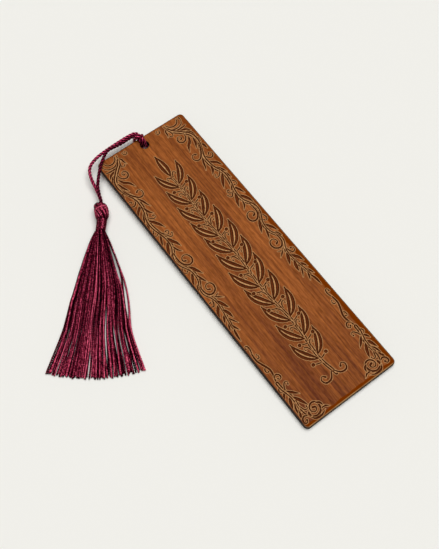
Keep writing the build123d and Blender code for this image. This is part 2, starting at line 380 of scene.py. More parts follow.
# The head of the tassel: floss drawn slantwise over a knot that sits a little askew, with a band of it round
# one shoulder
floss_look = dict(lobes=2, lobe_depth=0.4, twist_length=1.6 * mm, material=tassel_floss)
head_u = np.array((0.0, 0.56, 2.11, 4.3, 5.6, 6.5))
head_r = np.array((1.93, 2.35, 2.675, 2.57, 2.2, 1.7))
head_curve = np.polyfit(head_u, head_r, 5)
head_threads = 30
head_twist = math.radians(-115)
band_threads = 3
band_place = 1.2
band_pitch = 0.48
band_slant = 0.85
floss_r = 0.28
sway_u = (0.0, 1.0, 2.5, 4.5, 6.2, 8.0, 10.6)
sway_v = (-0.42, -0.12, 0.25, 0.45, 0.42, 0.3, 0.05)


def round_tassel(u, r, turn):
    """Points round the tassel's own middle line, which sways."""
    return on_tassel(np.column_stack((u, np.interp(u, sway_u, sway_v) + r * np.cos(turn), r * np.sin(turn))))


def out_of_middle(lines):
    """The way out of the tassel's middle line at each point of some lines."""
    spots = np.concatenate(lines)
    along = on_tassel([(1, 0, 0)])[0] - on_tassel([(0, 0, 0)])[0]
    across = on_tassel([(0, 1, 0)])[0] - on_tassel([(0, 0, 0)])[0]
    away = spots - head_top * mm
    u = away @ along / mm ** 2
    away = away - u[:, None] * along - np.interp(u, sway_u, sway_v)[:, None] * across
    return away / np.linalg.norm(away, axis=1)[:, None]


def head_line(start, lowered):
    """One thread over the head, from its mouth to the neck."""
    run = np.linspace(0.3, 6.5, 15)
    # The first three points come up out of the mouth
    u = np.concatenate(((0.5, 0.22, 0.14), run))
    r = np.concatenate(((0.6, 0.95, 1.4), np.polyval(head_curve, run))) - floss_r - lowered
    turn = start + head_twist * np.linspace(0, 1, len(u)) ** 0.9
    return round_tassel(u, r, turn)


head_lines = []
head_shades = []
for i in range(head_threads):
    start = full_turn * i / head_threads + chance.uniform(-0.05, 0.05)
    head_lines.append(head_line(start, chance.uniform(0.0, 0.14)))
    # Painted shade: it is dark in the mouth and where it is drawn in at the neck
    places = np.arange(len(head_lines[-1]))
    head_shades.append(np.interp(places, (0, 2, 5, 14, 17), (0.7, 0.3, -0.1, -0.1, 0.9)))
for i in range(band_threads):
    turn = np.linspace(0, full_turn, 40)
    u = band_place + band_pitch * i - band_slant * np.cos(turn)
    r = np.polyval(head_curve, np.clip(u, 0.3, 6.2)) - floss_r + 0.03
    head_lines.append(round_tassel(u, r, turn))
    head_shades.append(-0.15)
guide = guide_mesh("head", head_lines, out_of_middle(head_lines), head_shades)
head = grown("head", guide, thread_tree, step=0.16 * mm, ripple_height=0.12 * mm, ripple_length=1.2 * mm,
             thread_radius=floss_r * mm, sides=8, seed=2, **floss_look)
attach(head, "tassel")
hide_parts("head_cover")


def turned(name, profile, material, count=40):
    """A closed turned core along the tassel, from pairs of place and radius."""
    ring = np.linspace(0, full_turn, count, endpoint=False)
    ends = (profile[0][0], profile[-1][0])
    spots = [round_tassel(np.array((u,)), 0, np.zeros(1))[0] for u in ends]
    for u, r in profile:
        spots += list(round_tassel(np.full(count, u), r, ring))
    first = len(ends)
    last = first + (len(profile) - 1) * count
    faces = []
    for i in range(count):
        j = (i + 1) % count
        faces.append((0, first + j, first + i))
        faces.append((1, last + i, last + j))
        for a in range(first, last, count):
            faces.append((a + i, a + j, a + count + j, a + count + i))
    mesh = bpy.data.meshes.new(name)
    mesh.from_pydata([tuple(s) for s in spots], [], faces)
    mesh.polygons.foreach_set("use_smooth", [True] * len(mesh.polygons))
    mesh.materials.append(material)
    return piece_of(name, mesh)


under_floss = 0.45
core_profile = [(0.35, 0.8)]
core_profile += [(u, np.polyval(head_curve, u) - under_floss) for u in np.linspace(0.6, 6.0, 12)]
core_profile += [(6.4, 1.35), (10.6, 1.3), (11.6, 1.2)]
core = turned("core", core_profile, tassel_floss)
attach(core, "tassel")

# The neck binding: one thread wound tight, turn beside turn
bind_start = 6.45
bind_turns = 6.6
bind_pitch = 0.6
bind_r = 0.33
wind = np.linspace(0, bind_turns, 200)
wind_u = bind_start + bind_pitch * wind
wind_r = np.interp(wind_u, (6.4, 8.4, 10.5), (1.92, 1.86, 1.84)) - bind_r
wind_line = round_tassel(wind_u, wind_r, full_turn * wind)
# Painted highlight: two lighter stripes along the tassel, the stronger one to the right, with painted shade
# beside them
neck_side = np.cos(full_turn * wind)
neck_light_and_shade = (0.6 - 0.85 * np.exp(-((neck_side - 0.45) / 0.22) ** 2)
              - 0.5 * np.exp(-((neck_side + 0.5) / 0.2) ** 2))
guide = guide_mesh("neck", [wind_line], out_of_middle([wind_line]), [neck_light_and_shade])
neck = grown("neck", guide, thread_tree, step=0.14 * mm, ripple_height=0.05 * mm, ripple_length=1.0 * mm,
             thread_radius=bind_r * mm, sides=8, seed=4, **floss_look)
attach(neck, "tassel")
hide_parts("neck_binding")

# The skirt: cut threads that leave the neck in a round bundle and fan out flat on the table
skirt_r = 0.33
axis_height = 2.7
bundle_area = 27.0
hem_u = 61.4
hem_bow = 2.5
# Layers of the skirt from the table up: how high in the pile, how many threads, how deep they lie in it,
# which darkens them as painted shade, and how unevenly they are spaced
skirt_layers = ((0.0, 56, 0.35, 0.05), (0.4, 38, 0.7, 0.35), (0.7, 20, 0.3, 0.35), (1.0, 30, 0.0, 0.35))
# Its two sides, by places along and across the tassel
left_edge = np.array((
    (9.9, -1.1), (10.6, -1.8), (12.0, -2.5), (14.5, -3.6), (19.5, -5.35), (27.0, -7.75), (37.0, -10.3),
    (47.0, -12.2), (52.0, -13.75), (57.0, -15.5), (62.0, -17.3), (67.0, -19.0)))
right_edge = np.array((
    (9.9, 1.15), (10.6, 1.85), (12.0, 2.55), (14.5, 3.6), (19.5, 5.5), (27.0, 8.2), (32.0, 9.65),
    (37.0, 10.4), (42.0, 10.9), (47.0, 11.45), (52.0, 12.95), (57.0, 14.7), (62.0, 16.3), (67.0, 17.8)))
# Slits between locks of thread: the share of the width, where along the skirt they open and close, and how
# wide they gape
slits = (
    (0.93, 11.5, 32.0, 0.07), (0.97, 25.0, 46.0, 0.035), (0.62, 34.0, 62.0, 0.016),
    (0.665, 40.0, 62.0, 0.012), (0.74, 38.0, 58.0, 0.012), (0.81, 43.0, 59.0, 0.01),
    (0.88, 46.0, 60.0, 0.008), (0.09, 40.0, 60.0, 0.007), (0.17, 42.0, 60.0, 0.007))
slit_reach = 0.03
drift_start = 14
drift_run = 46
droop_start = 10.5
droop_run = 20
# Painted shade and painted highlight: a dark lock down the middle and a bright one on the left, by the share
# of the width
lock_shares = (0.36, 0.45, 0.51, 0.55, 0.6, 0.64, 0.9, 1.0)
lock_shades = (-0.26, -0.1, 0.3, 0.45, 0.2, 0.06, 0.1, 0.0)
skirt_lines = []
shade_depths = []
threads = []
for height, count, depth, uneven in skirt_layers:
    threads += [(height, (i + 0.5 + chance.uniform(-uneven, uneven)) / count, depth) for i in range(count)]
for layer, share, depth in threads:
    end_u = hem_u + hem_bow * (1 - (2 * share - 1) ** 2) + chance.uniform(-0.6, 0.6)
    u = np.concatenate(((9.9, 10.3, 10.8), np.linspace(11.6, end_u, 17)))
    low = np.interp(u, left_edge[:, 0], left_edge[:, 1]) + skirt_r
    high = np.interp(u, right_edge[:, 0], right_edge[:, 1]) - skirt_r
    # The upper threads lie a little across the lower ones
    drift = chance.uniform(-1, 1) * np.interp(layer, (0.4, 0.7), (0.01, 0.05))
    place = share + drift * np.clip((u - drift_start) / drift_run, 0, 1)
    for middle, opens, closes, gape in slits:
        lens = np.sin(math.pi * np.clip((u - opens) / (closes - opens), 0, 1))
        drifted = min(max(((opens + closes) / 2 - drift_start) / drift_run, 0), 1)
        lies = share + drift * drifted - middle
        place += math.copysign(gape * math.exp(-abs(lies) / slit_reach), lies) * lens
    sway = np.sin(full_turn * (u / chance.uniform(22, 40) + chance.random()))
    wander = np.interp(layer, (0, 0.4), (0.05, 0.16)) * sway * np.clip((u - drift_start) / 30, 0, 1)
    v = low + (high - low) * np.clip(place, 0, 1) + wander
    # The bundle sinks to the table and spreads, and its pile thins as it widens
    pile = np.clip(bundle_area / (high - low + 2 * skirt_r), 0.9, 3.5)
    droop = np.clip((u - droop_start) / droop_run, 0, 1)
    droop = droop * droop * (3 - 2 * droop)
    axis = axis_height * (1 - droop) + pile / 2 * droop
    arch = np.sqrt(np.clip(1 - (2 * share - 1) ** 2 * (1 - droop), 0.05, 1))
    layer = min(max(layer + chance.uniform(-0.12, 0.12), 0), 1)
    z = np.maximum(axis + (layer - 0.5) * (pile - 2 * skirt_r) * arch, skirt_r + 0.06)
    skirt_lines.append(on_tassel(np.column_stack((u, v, z - head_top[2]))))
    # Painted shade: it is darkest where the threads are crowded under the neck, and its painted locks of
    # light and shade even out towards the hem
    crowd_shade = np.interp(u, (12, 26, 62), (0.38, 0.1, -0.08))
    lock = np.interp(share, lock_shares, lock_shades)
    shade_depths.append(depth + crowd_shade + lock * np.interp(u, (34, 46), (1, 0.4)))
for first, name in enumerate(("skirt_first", "skirt_second", "skirt_third")):
    guide = guide_mesh(name, skirt_lines[first::3], shade_depths=shade_depths[first::3])
    skirt = grown(name, guide, thread_tree, step=0.2 * mm, ripple_height=0.14 * mm, ripple_length=3 * mm,
                  thread_radius=skirt_r * mm, sides=6, seed=3 + first, **floss_look)
    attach(skirt, "tassel")
    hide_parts("skirt_threads")

# The carved board

def flowing(points):
    """A smooth line through a few drawn points."""
    p = np.array(points, float)
    p = np.concatenate((2 * p[:1] - p[1:2], p, 2 * p[-1:] - p[-2:-1]))
    t = np.linspace(0, 1, 9)[:-1, None]
    rows = []
    for a, b, c, d in zip(p, p[1:], p[2:], p[3:]):
        rows.append(0.5 * (2 * b + (c - a) * t + (2 * a - 5 * b + 4 * c - d) * t ** 2
                           + (3 * b - a - 3 * c + d) * t ** 3))
    return np.concatenate(rows + [p[-2:-1]])


def leaf_shape(t):
    """A lancet leaf: slim at the stalk, full below the middle, pointed at the tip."""
    return np.maximum(np.sin(math.pi * t ** 0.85) ** 0.9, 0.16)


def line_shape(t):
    """A drawn line that swells in its middle."""
    return 0.5 + 0.5 * np.sin(math.pi * t) ** 0.8


def curl_shape(t):
    """A tendril that swells, thins towards its end and closes in a small bead."""
    return 0.55 + 0.45 * np.sin(math.pi * np.minimum(t * 1.25, 1)) + 0.6 * np.exp(-((1 - t) / 0.05) ** 2)


def stem_shape(t):
    """A stem that thins a little as it grows."""
    return 1 - 0.3 * t


shapes = {"leaf": leaf_shape, "line": line_shape, "curl": curl_shape, "stem": stem_shape}
stroke_step = 0.12


def graved(kind, wide, points):
    """A drawn stroke as rows of place and half width, sunk into the wood.

    Stems and broad leaves keep a raised rib.
    """
    line = flowing(points)
    gone = np.concatenate(((0.0,), np.cumsum(np.hypot(*np.diff(line, axis=0).T))))
    run = np.linspace(0, gone[-1], max(8, int(gone[-1] / stroke_step)))
    line = np.column_stack((np.interp(run, gone, line[:, 0]), np.interp(run, gone, line[:, 1])))
    half = wide * shapes[kind](run / gone[-1])
    strokes = [("cut", np.column_stack((line, half)))]
    if kind == "stem" or kind == "leaf" and wide > 0.6:
        kept = slice(int(len(line) * 0.1), int(len(line) * 0.8)) if kind == "leaf" else slice(None)
        strokes.append(("rib", np.column_stack((line, half * (0.2 if kind == "leaf" else 0.3)))[kept]))
    return strokes


# The border, drawn for one side: kind of stroke, half width, and points by their distance from the long edge
# and from the top
upper_vine = (
    ("curl", 0.26, ((9.2, 1.2), (8.5, 3.0), (6.6, 4.5), (4.6, 4.7), (2.9, 3.9), (2.2, 2.4), (2.3, 1.3))),
    ("line", 0.26, ((8.2, 1.2), (7.7, 2.4), (6.3, 3.3), (4.9, 3.2), (3.8, 2.4), (3.4, 1.2))),
    ("line", 0.3, ((7.4, 4.9), (5.9, 5.5), (4.0, 5.6), (2.0, 5.3))),
    ("leaf", 0.42, ((5.8, 6.4), (4.2, 6.5), (2.7, 7.2), (1.6, 8.6))),
    ("leaf", 0.4, ((4.4, 7.7), (3.0, 8.2), (2.0, 9.6), (1.6, 11.2))),
    ("leaf", 0.36, ((2.5, 11.6), (1.7, 12.6), (1.5, 14.6))),
    ("leaf", 0.4, ((2.6, 15.4), (1.7, 16.2), (1.4, 18.4))),
    ("curl", 0.26, (
        (4.3, 19.6), (3.7, 21.5), (2.5, 22.4), (1.4, 21.8), (1.3, 20.7), (2.1, 20.1), (2.6, 20.7))),
    ("leaf", 0.5, ((4.7, 22.9), (3.4, 24.3), (2.2, 25.4), (1.3, 27.3))),
    ("leaf", 0.42, ((4.3, 26.1), (3.3, 27.3), (2.4, 28.7), (1.5, 30.5))),
    ("leaf", 0.36, ((3.0, 29.8), (2.2, 31.2), (1.7, 33.4))),
    ("curl", 0.22, ((3.1, 33.2), (2.3, 34.6), (1.6, 35.8), (1.9, 36.8), (2.7, 36.6))),
    ("leaf", 0.42, ((3.7, 36.8), (2.9, 38.3), (2.3, 39.6), (1.7, 41.4))),
    ("leaf", 0.55, ((4.2, 40.6), (3.0, 42.4), (2.2, 43.8), (1.4, 46.2))),
    ("leaf", 0.36, ((3.0, 45.4), (2.0, 46.4), (1.4, 48.4))),
    ("curl", 0.22, ((2.6, 51.8), (1.7, 52.8), (1.6, 54.2), (2.4, 54.8), (2.9, 54.2))),
    ("leaf", 0.48, ((4.1, 55.2), (3.0, 57.1), (2.3, 58.2), (1.5, 60.2))),
    ("leaf", 0.36, ((3.4, 60.0), (2.3, 61.0), (1.6, 62.8))),
    ("curl", 0.24, ((3.6, 66.6), (3.3, 68.6), (2.5, 70.1), (1.5, 69.7), (1.5, 68.6), (2.3, 68.4))),
    ("leaf", 0.55, ((4.1, 70.2), (2.9, 71.9), (2.2, 72.9), (1.5, 74.8))),
    ("leaf", 0.4, ((3.6, 74.6), (2.7, 75.6), (1.8, 77.4))),
    ("leaf", 0.36, ((3.3, 77.4), (2.4, 78.8), (1.6, 80.7))),
    ("stem", 0.7, (
        (8.7, 3.2), (7.6, 5.0), (6.1, 6.4), (4.6, 7.9), (3.2, 9.4), (2.5, 11.2), (2.4, 13.2), (2.8, 15.2),
        (3.5, 17.2), (4.4, 19.3), (4.9, 21.2), (4.9, 23.2), (4.7, 25.2), (4.2, 27.1), (3.4, 28.9),
        (3.0, 30.7), (3.0, 32.7), (3.3, 34.7), (3.8, 36.6), (4.3, 38.6), (4.5, 40.6), (4.4, 42.5),
        (3.9, 44.2), (3.0, 45.8), (2.2, 47.6), (2.0, 49.3), (2.4, 51.0), (3.2, 52.6), (4.0, 54.2),
        (4.4, 56.0), (4.4, 57.8), (4.0, 59.6), (3.2, 61.1), (2.6, 62.8), (2.5, 64.2), (3.0, 65.6),
        (3.8, 67.0), (4.3, 68.7), (4.4, 70.7), (4.2, 73.0), (3.9, 75.0), (3.5, 77.0), (3.2, 79.0),
        (3.0, 81.0))),
    ("leaf", 0.4, ((3.1, 80.4), (2.6, 82.2), (2.4, 83.8), (2.3, 85.6))),
    ("curl", 0.22, ((9.0, 3.1), (8.4, 4.7), (8.2, 6.0), (8.8, 6.7), (9.4, 6.2))),
    ("leaf", 0.3, ((9.2, 2.6), (9.8, 3.8), (9.9, 5.0), (10.4, 6.2))),
    ("curl", 0.2, ((11.4, 1.5), (11.8, 2.6), (12.7, 2.7), (13.0, 1.9), (12.4, 1.5))),
    ("curl", 0.27, (
        (4.8, 8.2), (5.0, 9.6), (5.9, 10.8), (7.2, 11.1), (8.2, 10.3), (8.3, 9.1), (7.6, 8.2), (6.7, 8.4),
        (6.5, 9.2), (7.1, 9.6))),
    ("leaf", 0.5, ((3.9, 9.9), (5.0, 12.2), (6.5, 13.6), (7.6, 15.9))),
    ("leaf", 0.4, ((3.0, 11.2), (3.5, 13.7), (4.7, 16.2))),
    ("curl", 0.29, (
        (2.7, 14.6), (3.4, 16.7), (4.6, 18.8), (6.0, 20.4), (7.4, 20.6), (8.3, 19.6), (8.2, 18.3),
        (7.3, 17.7), (6.5, 18.2))),
    ("leaf", 0.36, ((5.1, 20.3), (6.1, 22.3), (6.6, 23.9), (7.4, 25.7))),
    ("leaf", 0.4, ((4.8, 24.8), (5.3, 27.0), (6.6, 28.7))),
    ("curl", 0.2, ((3.5, 28.6), (4.9, 30.3), (6.1, 30.4), (6.3, 29.6), (5.7, 29.3))),
    ("leaf", 0.55, ((3.2, 29.9), (4.9, 32.4), (5.8, 33.9), (6.6, 35.6))),
    ("curl", 0.24, ((3.7, 35.8), (4.9, 38.0), (6.0, 38.5), (6.6, 37.8), (6.3, 37.0), (5.7, 37.2))),
    ("curl", 0.22, ((5.0, 38.2), (6.1, 39.9), (7.0, 39.7), (7.3, 38.8))),
    ("leaf", 0.6, ((4.6, 39.4), (5.4, 41.6), (6.2, 43.0), (6.9, 44.9))),
    ("leaf", 0.3, ((4.3, 43.2), (4.9, 45.4), (6.1, 46.9))),
    ("curl", 0.3, (
        (3.0, 45.9), (2.8, 48.0), (2.9, 50.0), (3.7, 51.7), (5.1, 52.6), (6.5, 52.2), (7.1, 50.8),
        (6.6, 49.2), (5.3, 48.5), (4.2, 49.1), (4.0, 50.2), (4.8, 50.7))),
    ("leaf", 0.55, ((4.2, 52.9), (5.3, 55.0), (5.9, 56.3), (6.8, 57.9))),
    ("leaf", 0.36, ((4.5, 57.0), (5.2, 59.4), (6.1, 61.5))),
    ("curl", 0.3, (
        (3.0, 61.4), (2.9, 63.2), (3.2, 64.8), (4.1, 65.9), (5.3, 66.1), (6.6, 65.3), (7.1, 63.8),
        (6.6, 62.4), (5.4, 62.0), (4.5, 62.7), (4.4, 63.8), (5.2, 64.3))),
    ("leaf", 0.24, ((3.8, 66.5), (5.2, 67.4), (6.8, 66.9))),
    ("leaf", 0.26, ((4.7, 67.3), (6.0, 68.4), (7.3, 69.4))),
    ("leaf", 0.58, ((4.5, 69.0), (5.3, 71.1), (6.4, 73.4))),
    ("leaf", 0.55, ((4.2, 72.8), (5.0, 75.0), (5.4, 77.2))),
    ("leaf", 0.28, ((3.8, 76.2), (4.7, 78.2), (5.7, 79.8))),
    ("leaf", 0.32, ((3.2, 78.9), (3.7, 80.5), (4.4, 82.1))),
)
lower_vine = (
    ("leaf", 0.5, ((3.7, 109.9), (2.7, 111.3), (1.7, 114.2))),
    ("leaf", 0.36, ((3.4, 108.2), (2.3, 108.6), (1.5, 110.2))),
    ("leaf", 0.42, ((3.4, 114.8), (2.5, 116.6), (1.9, 119.0))),
    ("curl", 0.22, ((3.8, 97.9), (3.1, 97.7), (2.4, 98.5), (2.6, 99.6), (3.2, 99.4))),
    ("curl", 0.2, ((2.5, 93.6), (3.4, 93.8), (3.8, 93.0), (3.4, 92.4))),
    ("curl", 0.22, ((3.0, 105.0), (2.2, 105.9), (1.7, 107.0), (2.3, 107.6), (2.8, 107.0))),
    ("line", 0.34, (
        (2.6, 90.2), (2.3, 92.0), (2.2, 94.0), (2.7, 95.8), (3.4, 97.5), (3.9, 99.2), (3.7, 101.0),
        (3.2, 102.6), (2.9, 104.5))),
    ("stem", 0.64, (
        (2.9, 104.3), (3.0, 106.5), (3.5, 108.4), (3.9, 110.4), (3.9, 112.4), (3.6, 114.4), (3.6, 116.2))),
    ("curl", 0.24, ((2.6, 91.0), (2.9, 89.4), (2.7, 88.2), (2.0, 88.0), (1.8, 88.9))),
    ("curl", 0.25, ((3.3, 102.3), (4.2, 101.6), (5.1, 102.1), (5.3, 103.1), (4.6, 103.7), (4.1, 103.1))),
    ("curl", 0.22, ((3.4, 107.9), (4.2, 106.2), (5.1, 105.3), (5.9, 105.7), (5.6, 106.5))),
    ("leaf", 0.42, ((3.6, 107.9), (5.0, 109.5), (6.7, 111.2))),
    ("leaf", 0.55, ((4.1, 110.6), (5.3, 112.9), (6.5, 115.8))),
    ("curl", 0.22, ((4.0, 114.6), (4.6, 116.4), (5.6, 116.6), (5.8, 115.8))),
    ("curl", 0.34, (
        (3.6, 115.4), (3.9, 117.6), (5.0, 119.4), (6.8, 120.3), (8.7, 119.6), (9.4, 117.8), (8.9, 116.3),
        (7.5, 115.9), (6.3, 116.7), (6.0, 118.0), (6.8, 118.9), (7.8, 118.6), (8.0, 117.7), (7.2, 117.4))),
    ("curl", 0.3, ((4.0, 118.4), (3.0, 118.0), (2.0, 118.7), (1.8, 119.9), (2.7, 120.3), (3.1, 119.5))),
    ("leaf", 0.36, ((4.6, 119.6), (6.0, 120.9), (8.2, 121.0), (10.2, 120.2))),
    ("leaf", 0.3, ((9.2, 119.4), (10.6, 119.2), (12.0, 120.2))),
    ("leaf", 0.34, ((8.8, 116.6), (10.0, 117.4), (10.4, 118.9))),
    ("leaf", 0.4, ((5.2, 117.6), (4.9, 118.6), (5.3, 119.4))),
    ("leaf", 0.32, ((3.4, 112.8), (2.6, 114.2), (2.0, 116.6))),
)


def laurel():
    """A laurel branch up the middle, by distances from the board's middle.

    It is a stem with pairs of leaves, and berries and hooks between them.
    """
    stem = ((0.6, -52.0), (-0.6, -44.0), (0.5, -30.0), (-0.5, -14.0), (0.5, 2.0), (-0.4, 18.0), (0.2, 32.0),
            (0.0, 42.0))
    leaf = np.array(((0, 0), (2.6, 2.6), (4.6, 6.2), (5.4, 10.4)))
    stalk = np.array(((0, -2.0), (1.2, -1.7), (2.6, -1.1)))
    hook = np.array(((0, 4.4), (0.6, 6.2), (1.8, 7.2), (2.6, 6.6), (2.2, 5.8)))
    root = np.array(((0.4, -50.6), (2.0, -52.6), (4.2, -52.8), (5.0, -51.2), (4.0, -50.2), (3.2, -51.0)))
    tip = ((0.0, 41.0), (0.2, 44.0), (0.1, 47.5), (0.0, 51.0))
    strokes = graved("stem", 0.6, stem)
    line = flowing(stem)
    for k, y in enumerate(np.linspace(-44.0, 36.0, 11)):
        x = float(np.interp(y, line[:, 1], line[:, 0]))
        size = 1.0 - 0.16 * abs(k - 4.5) / 5.5
        for side in (-1, 1):
            foot = np.array((x + side * 0.4, y + side * 0.6))
            berry = foot + np.array((3.2, -0.9)) * size * (side, 1)
            strokes += graved("leaf", 1.5 * size, foot + leaf * size * (side, 1))
            strokes += graved("line", 0.2, foot + stalk * size * (side, 1))
            strokes += graved("line", 0.6, (berry - (0.2, 0.1), berry, berry + (0.2, 0.1)))
            strokes += graved("curl", 0.2, foot + hook * size * (side * 0.8, 1) * (1, 0.9))
    strokes += graved("leaf", 1.4, tip)
    for side in (-1, 1):
        strokes += graved("curl", 0.3, root * (side, 1))
    return strokes


# The carving on a grid of points in staggered rows: how far each is from the edge of a cut, below zero inside
grain_step = 0.17
row_ratio = 0.866
ridge_w = 0.22
cut_depth = 0.24
cut_slope = 0.22
sparse_step = 6
stroke_reach = 0.8
rib_top = 0.1
uncut = 3.0
# Room left plain by the board's outline and by the hole
edge_room = 0.13
hole_room = 0.26
rows = int(board_l / (grain_step * row_ratio)) + 1
columns = int(board_w / grain_step) + 1
down, across = np.mgrid[0:rows, 0:columns]
field_x = -board_w / 2 + (across + 0.5 * (down % 2)) * grain_step
field_y = -board_l / 2 + down * grain_step * row_ratio
cut = np.full(field_x.shape, uncut)

strokes = laurel()
# The border sits nearer one long edge than the other
for side, shift in ((1, 0.15), (-1, 1.15)):
    for kind, wide, points in upper_vine + lower_vine:
        drawn = np.array(points)
        drawn = np.column_stack((side * (board_w / 2 + shift - drawn[:, 0]), board_l / 2 - drawn[:, 1]))
        strokes += graved(kind, wide, drawn)
for kind, line in strokes:
    reach = line[:, 2].max() + stroke_reach
    first_row = max(0, int((line[:, 1].min() - reach + board_l / 2) / (grain_step * row_ratio)))
    last_row = int((line[:, 1].max() + reach + board_l / 2) / (grain_step * row_ratio)) + 1
    first_column = max(0, int((line[:, 0].min() - reach + board_w / 2) / grain_step) - 1)
    last_column = int((line[:, 0].max() + reach + board_w / 2) / grain_step) + 1
    window = (slice(first_row, last_row), slice(first_column, last_column))
    gap = np.hypot(field_x[window][..., None] - line[:, 0], field_y[window][..., None] - line[:, 1])
    if kind == "rib":
        cut[window] = np.maximum(cut[window], np.minimum((line[:, 2] - gap).max(axis=2), rib_top))
    else:
        edge = (gap - line[:, 2]).min(axis=2)
        cut[window] = np.minimum(np.maximum(cut[window], ridge_w - edge), edge)


corner_steps = 9
end_steps = 50
side_steps = 160
hole_sides = 48


def outline(inset, z):
    """The board's rounded outline drawn in by an inset, anticlockwise from the front, at one height."""
    wide, long, r = board_w / 2 - inset, board_l / 2 - inset, corner_r - inset
    middles = ((wide - r, long - r), (r - wide, long - r), (r - wide, r - long), (wide - r, r - long))
    spots = []
    for k, (cx, cy) in enumerate(middles):
        turn = math.pi / 2 * (k + np.arange(corner_steps) / corner_steps)
        spots.append(np.column_stack((cx + r * np.cos(turn), cy + r * np.sin(turn))))
        count, half = (end_steps, wide) if k % 2 == 0 else (side_steps, long)
        away = np.arange(count) / count * (half * 2 - 2 * r)
        ahead = math.pi / 2 * (k + 1)
        edge = np.array((cx + r * math.cos(ahead), cy + r * math.sin(ahead)))
        spots.append(edge + away[:, None] * np.array((-math.sin(ahead), math.cos(ahead))))
    flat = np.concatenate(spots)
    return np.column_stack((flat, np.full(len(flat), z)))


def hole_ring(r, z):
    """A ring of the cord hole at one height."""
    turn = np.linspace(0, full_turn, hole_sides, endpoint=False)
    return np.column_stack((r * np.cos(turn), hole_y + r * np.sin(turn), np.full(hole_sides, z)))


def filled(rim, hole, inner):
    """Triangles between a rim and a hole, through the inner points, for a face seen from the front."""
    spots = np.concatenate((rim, hole, inner))[:, :2]
    points = [mathutils.Vector(p) for p in spots.tolist()]
    loops = [(i, (i + 1) % len(rim)) for i in range(len(rim))]
    loops += [(len(rim) + i, len(rim) + (i + 1) % len(hole)) for i in range(len(hole))]
    found = mathutils.geometry.delaunay_2d_cdt(points, loops, [], 0, 1e-6, False)
    last = len(rim) + len(hole)
    return [f for f in found[2] if not all(len(rim) <= i < last for i in f)]


inset_x = np.abs(field_x) - (board_w / 2 - corner_r)
inset_y = np.abs(field_y) - (board_l / 2 - corner_r)
to_edge = np.hypot(np.maximum(inset_x, 0), np.maximum(inset_y, 0))
to_edge = to_edge + np.minimum(np.maximum(inset_x, inset_y), 0) - corner_r
to_hole = np.hypot(field_x, field_y - hole_y) - hole_r
# Points are kept close to the cuts, and here and there on the plain wood
close = (cut > -0.42) & (cut < 0.46)
sparse = (down % sparse_step == 0) & (across % sparse_step == 0)
kept = (close | sparse) & (to_edge < -edge_break - edge_room) & (to_hole > hole_room)
sink = np.clip(-cut[kept] / cut_slope, 0, 1)
carved = np.column_stack((field_x[kept], field_y[kept], board_t - cut_depth * sink * sink * (3 - 2 * sink)))

# Rings down the outside and down the hole, by inset and height
rim_steps = ((edge_break, board_t), (0.17, board_t - 0.06), (0.06, board_t - 0.16), (0.0, board_t - 0.3),
             (0.0, 0.12), (0.1, 0.0))
bore_steps = ((0.12, board_t), (0.0, board_t - 0.12), (0.0, 0.0))
rims = [outline(inset, z) for inset, z in rim_steps]
bores = [hole_ring(hole_r + inset, z) for inset, z in bore_steps]
# Finishes of the faces, in the order in which the mesh takes its materials
wood_face, charred_face, rim_highlight_face = range(3)
faces = filled(rims[0], bores[0], carved)
kinds = [wood_face] * len(faces)
spots = np.concatenate((rims[0], bores[0], carved))
marks = np.concatenate((np.full(len(rims[0]) + len(bores[0]), uncut), cut[kept]))
lowest = []
for rings, first, way in ((rims, 0, 1), (bores, len(rims[0]), -1)):
    above = first
    for k, ring in enumerate(rings[1:]):
        below = len(spots)
        spots = np.concatenate((spots, ring))
        for i in range(len(ring)):
            j = (i + 1) % len(ring)
            quad = (above + i, below + i, below + j, above + j)
            faces.append(quad[::way])
            kinds.append(rim_highlight_face if rings is rims and k < 2 else charred_face)
        above = below
    lowest += range(below, below + len(rings[-1]))
back_faces = filled(rims[-1], bores[-1], np.zeros((0, 3)))
back_faces = [tuple(lowest[i] for i in reversed(f)) for f in back_faces]
faces += back_faces
kinds += [wood_face] * len(back_faces)
marks = np.concatenate((marks, np.full(len(spots) - len(marks), uncut)))

mesh = bpy.data.meshes.new("carved_board")
mesh.from_pydata(lean(spots).tolist(), [], faces)
mesh.polygons.foreach_set("material_index", kinds)
mesh.polygons.foreach_set("use_smooth", [True] * (len(faces) - len(back_faces)) + [False] * len(back_faces))
mesh.attributes.new("cut", "FLOAT", "POINT").data.foreach_set("value", marks.astype(np.float32))


# Finishes of the board

# Stained hardwood, sanded and oiled: brown streaks along the length with fine dark pores, a low satin gloss,
# near-black burning in the cuts and pale sanded ridges beside them
wood, tree = finish("stained_hardwood")
spot = add(tree, "ShaderNodeTexCoord").outputs["Object"]
spread = add(tree, "ShaderNodeSeparateXYZ", {0: spot}).outputs
# The grain, by its width, length and depth in millimetres: broad bands of colour, streaks with finer ones in
# them, flecks that break these up, pores drawn twice as wide as real ones so that they show, and long lines
# of growth. After the size come its detail, roughness and distortion
grain = {}
for name, size, detail, rough, bent in (
        ("bands", (6, 60, 8), 3.0, 0.55, 0.4), ("streaks", (0.9, 40, 3), 4.0, 0.52, 0.0),
        ("flecks", (0.4, 2.2, 1), 2.0, 0.5, 0.0), ("pores", (0.3, 3, 1), 2.0, 0.5, 0.0),
        ("growth", (0.4, 60, 3), 1.0, 0.5, 0.0)):
    drawn = add(tree, "ShaderNodeMapping", {"Vector": spot, "Scale": [1 / (s * mm) for s in size]})
    grain[name] = add(tree, "ShaderNodeTexNoise", {
        "Vector": drawn, "Scale": 1.0, "Detail": detail, "Roughness": rough, "Distortion": bent})
# Patches with no direction, by their size in millimetres and their detail
patch = {}
